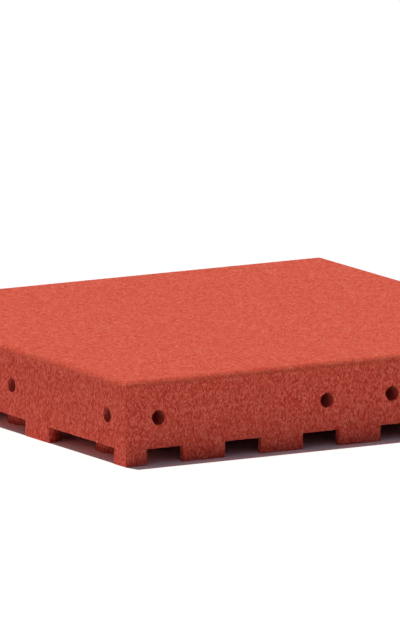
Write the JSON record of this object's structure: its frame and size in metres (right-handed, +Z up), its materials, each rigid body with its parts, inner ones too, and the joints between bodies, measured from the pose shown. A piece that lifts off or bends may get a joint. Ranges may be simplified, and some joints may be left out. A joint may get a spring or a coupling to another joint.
{
  "type": "rubber playground tile",
  "caption": "Square moulded rubber crumb floor tile with a rounded top edge, round feet with drainage channels underneath, and blind dowel holes in all four sides.",
  "frame": {"origin": "middle of the underside, level with the feet", "axes": "+X along the rows of feet and drainage channels, +Y across them, +Z up out of the top face"},
  "size_m": [0.5, 0.5, 0.08],
  "materials": {
    "red_rubber_crumb": "matt, dyed through in red, with the grain of bound rubber crumb on every face: fine on top, coarser on the sides"
  },
  "bodies": {
    "root": {"tile": "red_rubber_crumb"}
  },
  "joints": []
}
